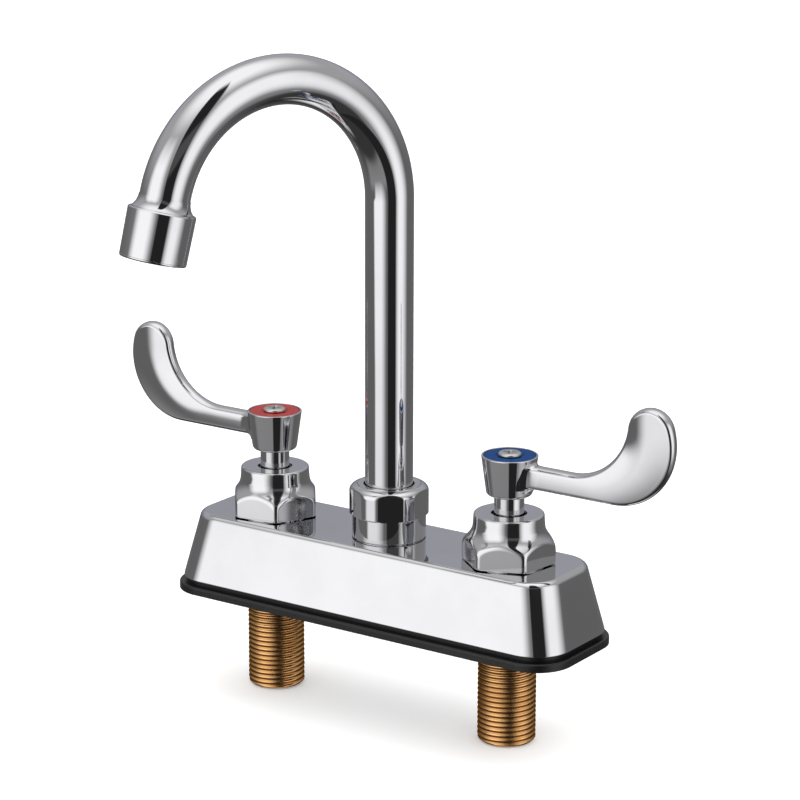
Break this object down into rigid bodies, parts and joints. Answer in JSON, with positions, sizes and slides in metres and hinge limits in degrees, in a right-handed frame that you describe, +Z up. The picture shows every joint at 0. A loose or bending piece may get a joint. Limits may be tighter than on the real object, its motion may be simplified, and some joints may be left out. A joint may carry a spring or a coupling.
{
  "type": "gooseneck kitchen faucet",
  "caption": "Deck-mounted faucet with a swivelling gooseneck spout, wrist-blade handles on quarter-turn ceramic valves, a tapered base and threaded brass inlets.",
  "frame": {"origin": "middle of the base on the sink deck, which is the underside of the gasket and the foot of the spout's swivel axis", "axes": "+Z up along the spout's swivel axis, +X from the hot valve to the cold valve, -Y towards the user"},
  "size_m": [0.2324, 0.1249, 0.243],
  "materials": {
    "chrome": "mirror polished",
    "handle_chrome": "softly polished",
    "brass": "raw, machined",
    "gasket_rubber": "matt black",
    "seal_rubber": "matt",
    "ceramic": "lapped",
    "red_plastic": "satin",
    "blue_plastic": "satin",
    "steel": "bright",
    "white_plastic": "moulded"
  },
  "bodies": {
    "faucet_body": {"deck_body": "chrome", "spout_nut": "chrome", "hot_bonnet": "chrome", "cold_bonnet": "chrome", "hot_shank": "brass", "cold_shank": "brass", "hot_cartridge_sleeve": "brass", "cold_cartridge_sleeve": "brass", "base_gasket": "gasket_rubber", "hot_sleeve_o_ring": "seal_rubber", "cold_sleeve_o_ring": "seal_rubber", "hot_seat_seal": "seal_rubber", "cold_seat_seal": "seal_rubber", "hot_fixed_disc": "ceramic", "cold_fixed_disc": "ceramic", "swivel_washer": "white_plastic", "hot_thrust_washer": "white_plastic", "cold_thrust_washer": "white_plastic"},
    "spout": {"spout_tube": "chrome", "spout_collar": "brass", "collar_o_rings": "seal_rubber", "outlet_adapter": "chrome", "aerator_shell": "chrome", "aerator_washer": "seal_rubber", "aerator_screen": "steel", "aerator_insert": "white_plastic"},
    "hot_valve": {"hot_handle": "handle_chrome", "hot_index_disc": "red_plastic", "hot_handle_screw": "steel", "hot_stem": "chrome", "hot_stem_o_rings": "seal_rubber", "hot_moving_disc": "ceramic", "hot_stem_circlip": "steel"},
    "cold_valve": {"cold_handle": "handle_chrome", "cold_index_disc": "blue_plastic", "cold_handle_screw": "steel", "cold_stem": "chrome", "cold_stem_o_rings": "seal_rubber", "cold_moving_disc": "ceramic", "cold_stem_circlip": "steel"}
  },
  "joints": [
    {"name": "spout_swivel", "type": "hinge", "parent": "faucet_body", "child": "spout", "pos_m": [0, 0, 0], "axis": [0, 0, 1], "continuous": true},
    {"name": "hot_valve_turn", "type": "hinge", "parent": "faucet_body", "child": "hot_valve", "pos_m": [-0.0508, 0, 0], "axis": [0, 0, 1], "range_deg": [0, 90]},
    {"name": "cold_valve_turn", "type": "hinge", "parent": "faucet_body", "child": "cold_valve", "pos_m": [0.0508, 0, 0], "axis": [0, 0, 1], "range_deg": [-90, 0]}
  ]
}
